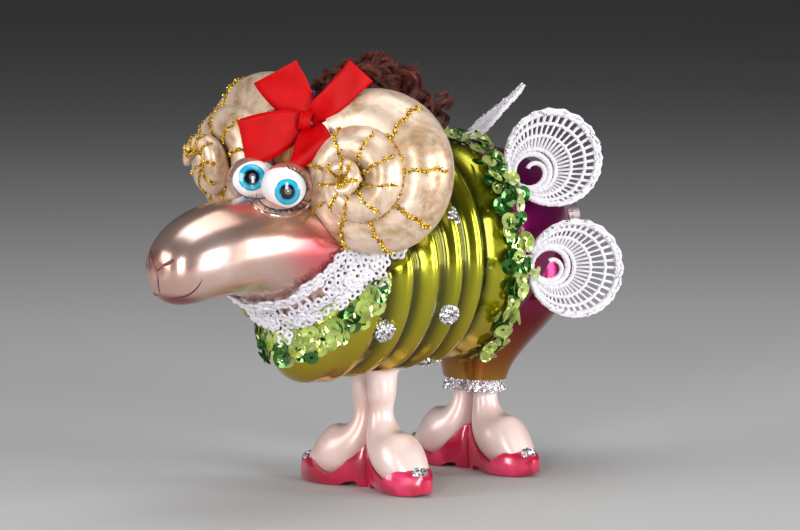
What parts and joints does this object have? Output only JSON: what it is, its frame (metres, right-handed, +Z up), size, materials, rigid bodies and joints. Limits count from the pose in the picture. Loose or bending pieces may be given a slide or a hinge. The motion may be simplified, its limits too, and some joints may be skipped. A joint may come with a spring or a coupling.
{
  "type": "blown glass Christmas ornament, dressed ram",
  "caption": "Standing ram in shoes and a ribbed coat, a hollow blown glass tree ornament with curled horns, lace, sequins, a ribbon bow and a metal neck cap.",
  "frame": {"origin": "centre of the bounding box's bottom face, on the plane the shoe soles stand on", "axes": "+Z up, the head faces -Y, +Y runs from head to rump along the length, +X to the animal's left"},
  "size_m": [0.0884, 0.165, 0.1225],
  "materials": {
    "coat_glass": "green gold lacquer over silvered blown glass, glossy",
    "rump_glass": "magenta to red to gold lacquer over silvered blown glass, glossy",
    "cap_metal": "thin crimped cap, dull",
    "face_glass": "pearly pink paint over silvered blown glass, glossy",
    "eye_paint": "painted eye under clear lacquer",
    "horn_glass": "beige and gold pearl paint with gold glitter lines",
    "lock_paint": "painted orange brown curls",
    "leg_glass": "pearly pink paint, glossy",
    "shoe_lacquer": "red pink glossy lacquer",
    "frill_glitter": "pink glass rim with fine iridescent glitter",
    "silver_glitter": "silver glitter in clear glue",
    "white_lace": "white cotton lace, matte",
    "green_sequin": "faceted iridescent green sequins",
    "thread": "brown twisted thread",
    "red_ribbon": "red satin ribbon",
    "purple_wire": "thin purple coated wire",
    "hair": "dark brown curled doll hair"
  },
  "bodies": {
    "root": {"torso_shell": "coat_glass", "rump_shell": "rump_glass", "head_shell": "face_glass", "eye_left": "eye_paint", "eye_right": "eye_paint", "horn_left": "horn_glass", "horn_right": "horn_glass", "forelock": "lock_paint", "front_leg_left": "leg_glass", "front_leg_right": "leg_glass", "rear_leg_left": "leg_glass", "rear_leg_right": "leg_glass", "front_shoe_left": "shoe_lacquer", "front_shoe_right": "shoe_lacquer", "rear_shoe_left": "shoe_lacquer", "rear_shoe_right": "shoe_lacquer", "frill_left": "frill_glitter", "frill_right": "frill_glitter", "shoe_glitter": "silver_glitter", "collar_lace": "white_lace", "collar_sequins": "green_sequin", "waist_thread": "thread", "waist_sequins": "green_sequin", "coat_glitter": "silver_glitter", "lace_fan_top": "white_lace", "lace_fan_upper_left": "white_lace", "lace_fan_lower_left": "white_lace", "lace_fan_upper_right": "white_lace", "lace_fan_lower_right": "white_lace", "bow_knot": "red_ribbon", "bow_loop_left": "red_ribbon", "bow_loop_right": "red_ribbon", "bow_tail_left": "red_ribbon", "bow_tail_right": "red_ribbon", "bow_tie_wire": "purple_wire", "hair_tuft": "hair"},
    "neck_cap": {"neck_cap": "cap_metal"}
  },
  "joints": [
    {"name": "cap_pull", "type": "slide", "parent": "root", "child": "neck_cap", "axis": [0, 1, 0], "range_m": [0, 0.012]}
  ]
}
